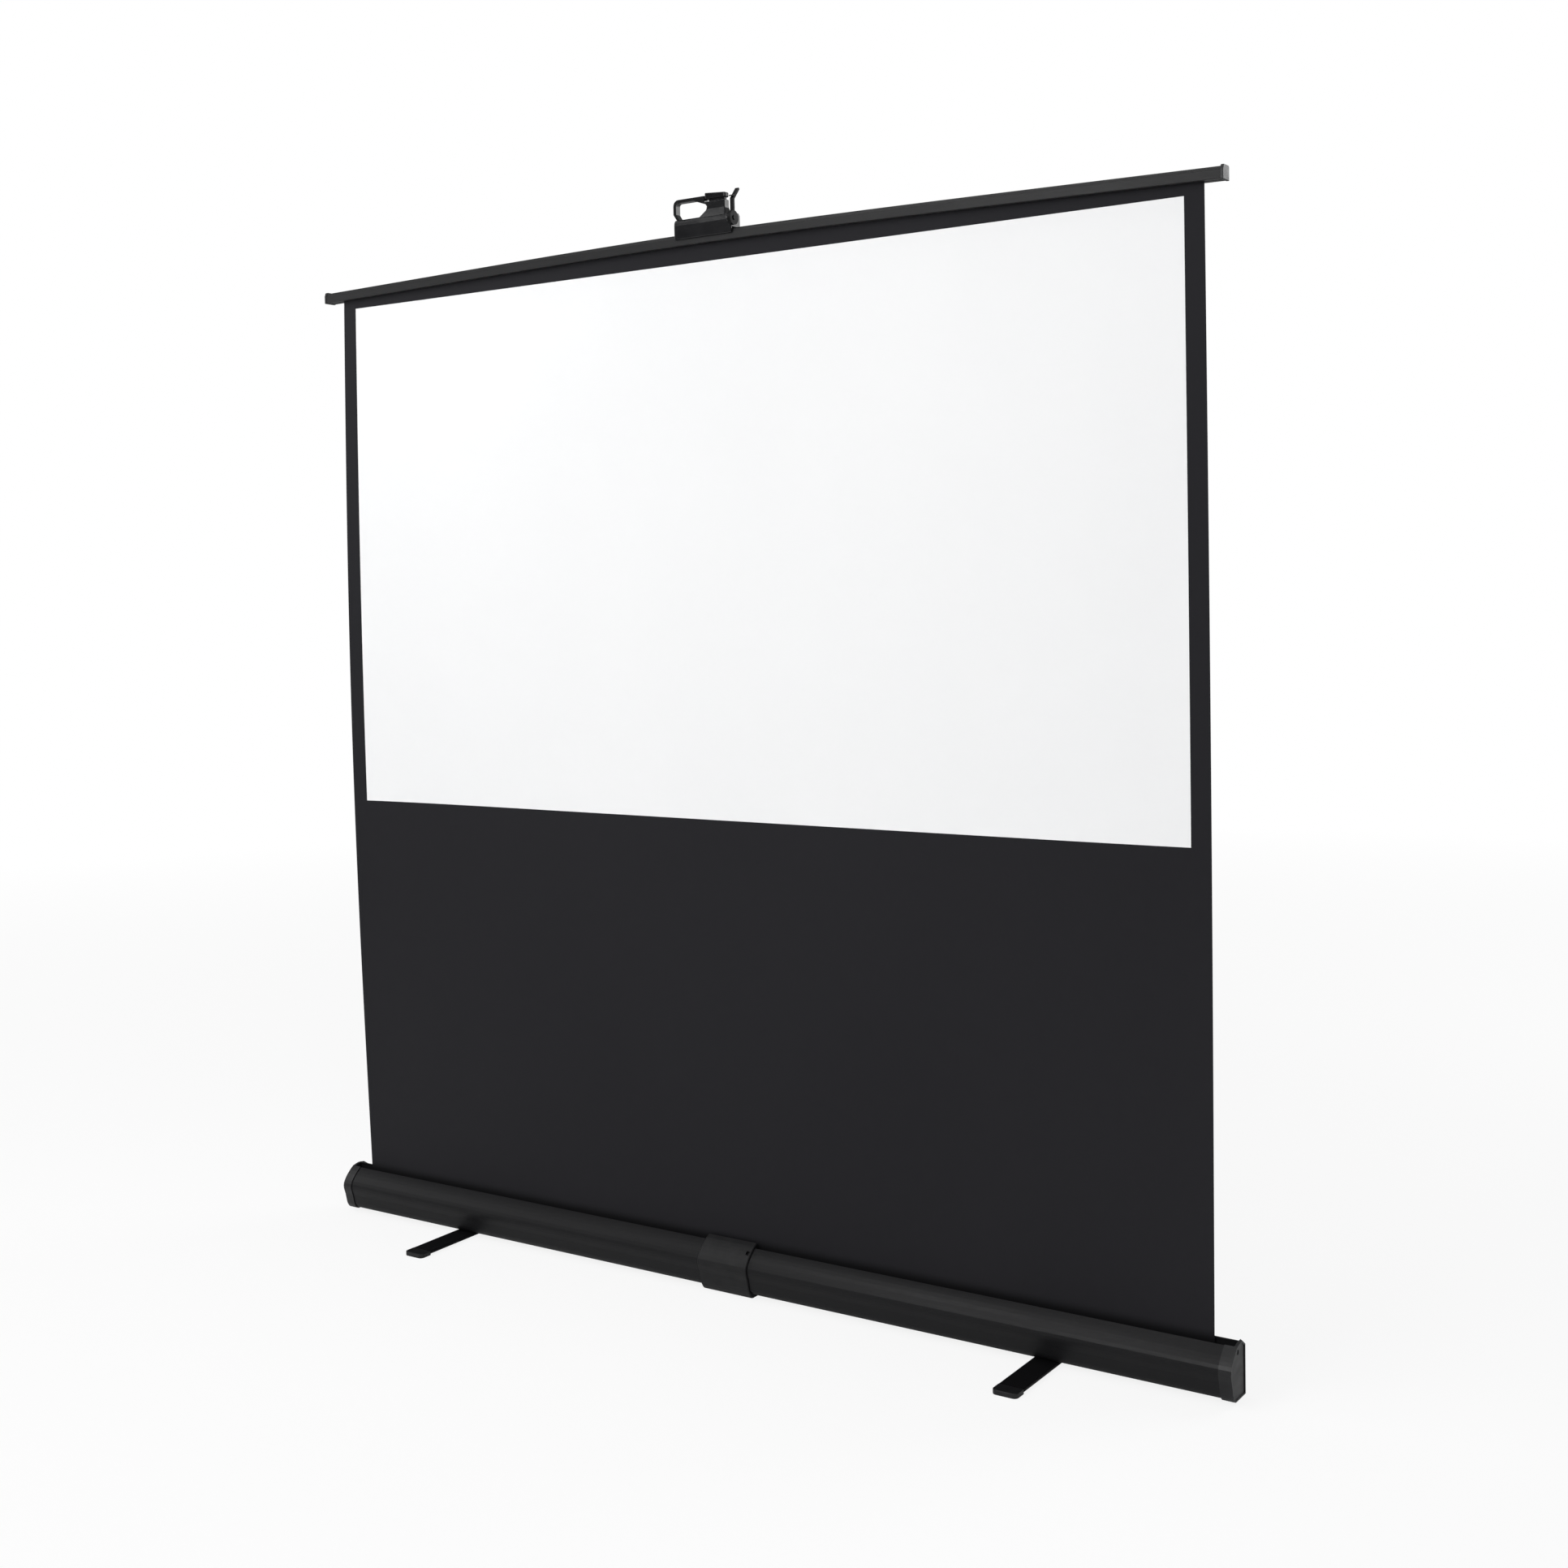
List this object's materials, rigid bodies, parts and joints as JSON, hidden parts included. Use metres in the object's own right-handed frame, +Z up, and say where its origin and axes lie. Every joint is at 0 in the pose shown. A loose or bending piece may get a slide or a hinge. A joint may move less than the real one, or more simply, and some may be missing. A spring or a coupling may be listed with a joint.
{
  "type": "pop-up floor projector screen",
  "caption": "Floor-standing projector screen that pulls up out of a long low case on geared knee arms, with a bowed top bar, carrying handle, latch lever and turning feet.",
  "frame": {"origin": "on the floor, under the middle of the whole object's width and depth", "axes": "+Z up, +X to the right seen from the picture side, and the picture faces -Y"},
  "size_m": [1.922, 0.328, 1.9741],
  "materials": {
    "case_black": "satin black",
    "cap_grey": "matte moulded dark grey",
    "fabric": "matte white picture area in black borders",
    "steel": "zinc-plated",
    "arm_black": "satin black",
    "aluminium": "mill finish",
    "handle_black": "matte moulded black",
    "button_black": "fine satin black"
  },
  "bodies": {
    "case": {"case_housing": "case_black", "case_end_cap_left": "cap_grey", "case_end_cap_right": "cap_grey", "case_end_screw_1": "steel", "case_end_screw_2": "steel", "case_end_screw_3": "steel", "case_end_screw_4": "steel", "latch_band": "case_black", "lift_base_plate": "steel", "base_plate_screw_1": "steel", "base_plate_screw_2": "steel", "base_plate_screw_3": "steel", "base_plate_screw_4": "steel", "base_pin_left": "steel", "base_pin_right": "steel", "roller_spindle": "steel", "foot_bolt_left": "steel", "foot_bolt_right": "steel", "screen_fabric": "fabric"},
    "roller": {"roller_tube": "aluminium", "roller_plug_left": "cap_grey", "roller_plug_right": "cap_grey", "fabric_wraps": "fabric", "roller_spring": "steel"},
    "arm_lower_left": {"arm_lower_left": "arm_black", "elbow_pin_left": "steel", "elbow_spring_left": "steel"},
    "arm_lower_right": {"arm_lower_right": "arm_black", "elbow_pin_right": "steel", "elbow_spring_right": "steel"},
    "arm_upper_left": {"arm_upper_left": "arm_black"},
    "arm_upper_right": {"arm_upper_right": "arm_black"},
    "header": {"header_bar": "case_black", "header_cap_left": "cap_grey", "header_cap_right": "cap_grey", "fabric_spline": "cap_grey", "top_plate": "steel", "top_pin_left": "steel", "top_pin_right": "steel", "top_plate_screw_1": "steel", "top_plate_screw_2": "steel", "top_plate_screw_3": "steel", "top_plate_screw_4": "steel", "handle_body": "handle_black", "latch_pin": "steel", "button_spring": "steel"},
    "release_button": {"release_button": "button_black"},
    "latch_lever": {"latch_lever": "button_black"},
    "foot_left": {"foot_left": "case_black", "foot_tip_left_front": "cap_grey", "foot_tip_left_back": "cap_grey"},
    "foot_right": {"foot_right": "case_black", "foot_tip_right_front": "cap_grey", "foot_tip_right_back": "cap_grey"}
  },
  "joints": [
    {"name": "lift_fold", "type": "hinge", "parent": "case", "child": "arm_lower_left", "pos_m": [-0.014, 0.026, 0.031], "axis": [0, -1, 0], "range_deg": [0, 76.8], "deforming": ["screen_fabric"]},
    {"name": "fold_right", "type": "hinge", "parent": "case", "child": "arm_lower_right", "pos_m": [0.014, 0.026, 0.031], "axis": [0, -1, 0], "range_deg": [-76.8, 0]},
    {"name": "elbow_left", "type": "hinge", "parent": "arm_lower_left", "child": "arm_upper_left", "pos_m": [-0.20672, 0.0223, 0.93766], "axis": [0, -1, 0], "range_deg": [-153.6, 0]},
    {"name": "elbow_right", "type": "hinge", "parent": "arm_lower_right", "child": "arm_upper_right", "pos_m": [0.20672, 0.0223, 0.93766], "axis": [0, -1, 0], "range_deg": [0, 153.6]},
    {"name": "bar_level", "type": "hinge", "parent": "arm_upper_left", "child": "header", "pos_m": [-0.014, 0.0187, 1.84432], "axis": [0, -1, 0], "range_deg": [0, 76.8]},
    {"name": "roller_spin", "type": "hinge", "parent": "case", "child": "roller", "pos_m": [0, -0.0065, 0.044], "axis": [-1, 0, 0], "range_deg": [0, 5682]},
    {"name": "latch_turn", "type": "hinge", "parent": "header", "child": "latch_lever", "pos_m": [0.059, -0.008, 1.9205], "axis": [1, 0, 0], "range_deg": [0, 175]},
    {"name": "button_press", "type": "slide", "parent": "header", "child": "release_button", "axis": [0, 0, -1], "range_m": [0, 0.004], "stiffness_N_per_m": 300, "springref_m": -0.005, "deforming": ["button_spring"]},
    {"name": "foot_left_turn", "type": "hinge", "parent": "case", "child": "foot_left", "pos_m": [-0.638, 0, 0.0055], "axis": [0, 0, 1], "range_deg": [0, 90]},
    {"name": "foot_right_turn", "type": "hinge", "parent": "case", "child": "foot_right", "pos_m": [0.638, 0, 0.0055], "axis": [0, 0, 1], "range_deg": [0, 90]}
  ],
  "couplings": [
    {"joint": "fold_right", "follows": "lift_fold", "ratio": -1},
    {"joint": "elbow_left", "follows": "lift_fold", "ratio": -2},
    {"joint": "elbow_right", "follows": "lift_fold", "ratio": 2},
    {"joint": "bar_level", "follows": "lift_fold", "ratio": 1},
    {"joint": "roller_spin", "follows": "lift_fold", "ratio": 73.9}
  ]
}
